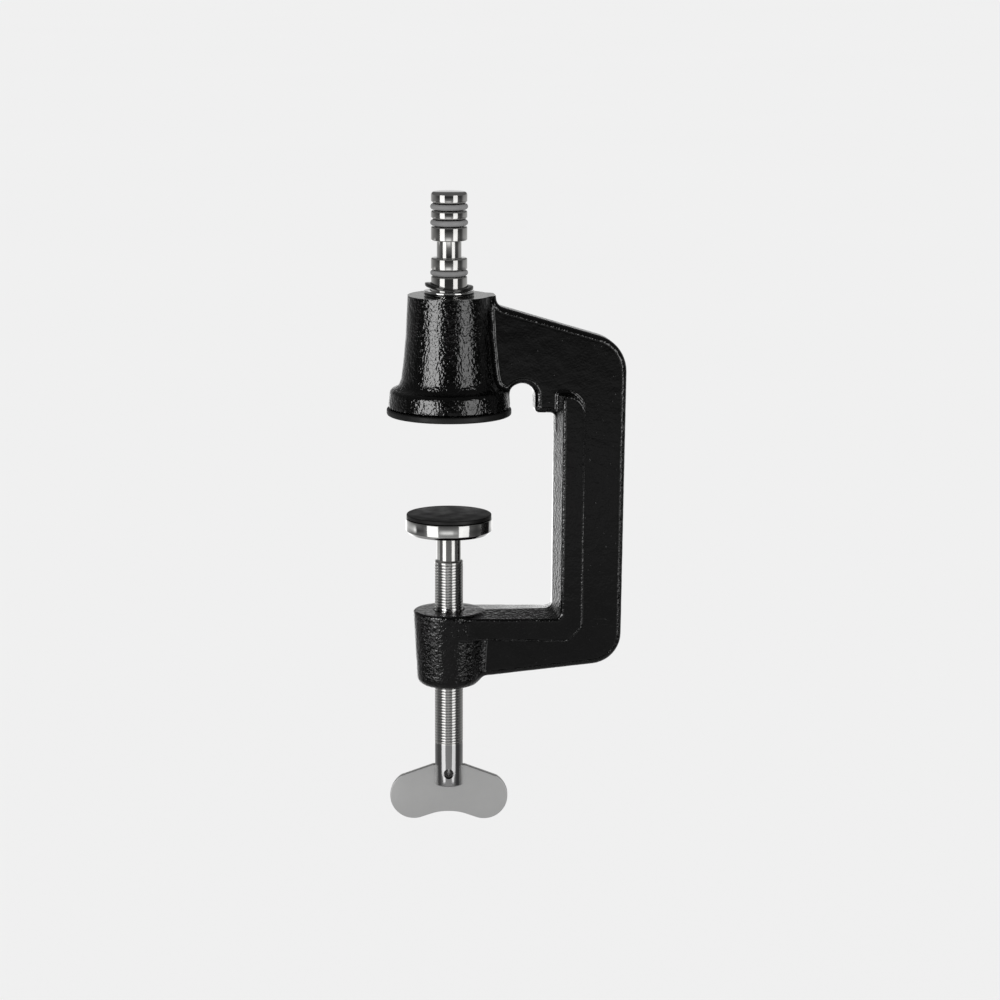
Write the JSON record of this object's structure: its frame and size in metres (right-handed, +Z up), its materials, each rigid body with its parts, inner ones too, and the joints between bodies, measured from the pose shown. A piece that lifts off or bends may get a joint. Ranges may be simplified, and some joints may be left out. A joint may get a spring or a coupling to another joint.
{
  "type": "table clamp with spigot",
  "caption": "Cast C-shaped table clamp: screw spindle with pressure disc and wing plate below, turned spigot with O-rings on top for a sleeve.",
  "frame": {"origin": "centre of the upper jaw face, the underside of the jaw pad, on the common axis of spigot and spindle", "axes": "+Z up along the common axis towards the spigot's top; +X from the axis towards the casting's upright web; Y across the casting's plane of symmetry"},
  "size_m": [0.0833, 0.0432, 0.222],
  "materials": {
    "black_enamel": "glossy wrinkled black enamel over cast iron",
    "turned_steel": "bright turned",
    "thread_steel": "bright machined thread",
    "plain_steel": "plated",
    "satin_steel": "satin, stamped",
    "spring_steel": "oil black",
    "black_steel": "black",
    "grey_rubber": "matte",
    "black_rubber": "matte"
  },
  "bodies": {
    "frame": {"clamp_frame": "black_enamel", "spigot": "turned_steel", "o_ring_top": "grey_rubber", "o_ring_middle": "grey_rubber", "o_ring_lower": "grey_rubber", "seat_washer": "black_steel", "spigot_screw": "plain_steel", "spigot_lock_washer": "spring_steel", "jaw_pad": "black_rubber"},
    "loose_washers": {"thrust_washer": "plain_steel", "wave_washer": "spring_steel"},
    "disc": {"pressure_disc": "plain_steel", "disc_facing": "black_rubber", "disc_retaining_ring": "spring_steel"},
    "spindle": {"clamp_spindle": "thread_steel", "wing_plate": "satin_steel", "wing_pin": "spring_steel"}
  },
  "joints": [
    {"name": "disc_slide", "type": "slide", "parent": "frame", "child": "disc", "axis": [0, 0, 1], "range_m": [-0.027, 0.02]},
    {"name": "spindle_turn", "type": "hinge", "parent": "disc", "child": "spindle", "pos_m": [0, 0, -0.0422], "axis": [0, 0, 1], "range_deg": [-9725, 7205]},
    {"name": "washer_turn", "type": "hinge", "parent": "frame", "child": "loose_washers", "pos_m": [0, 0, 0.0428], "axis": [0, 0, 1], "continuous": true}
  ],
  "couplings": [
    {"joint": "spindle_turn", "follows": "disc_slide", "rad_per_m": 6283.2}
  ]
}
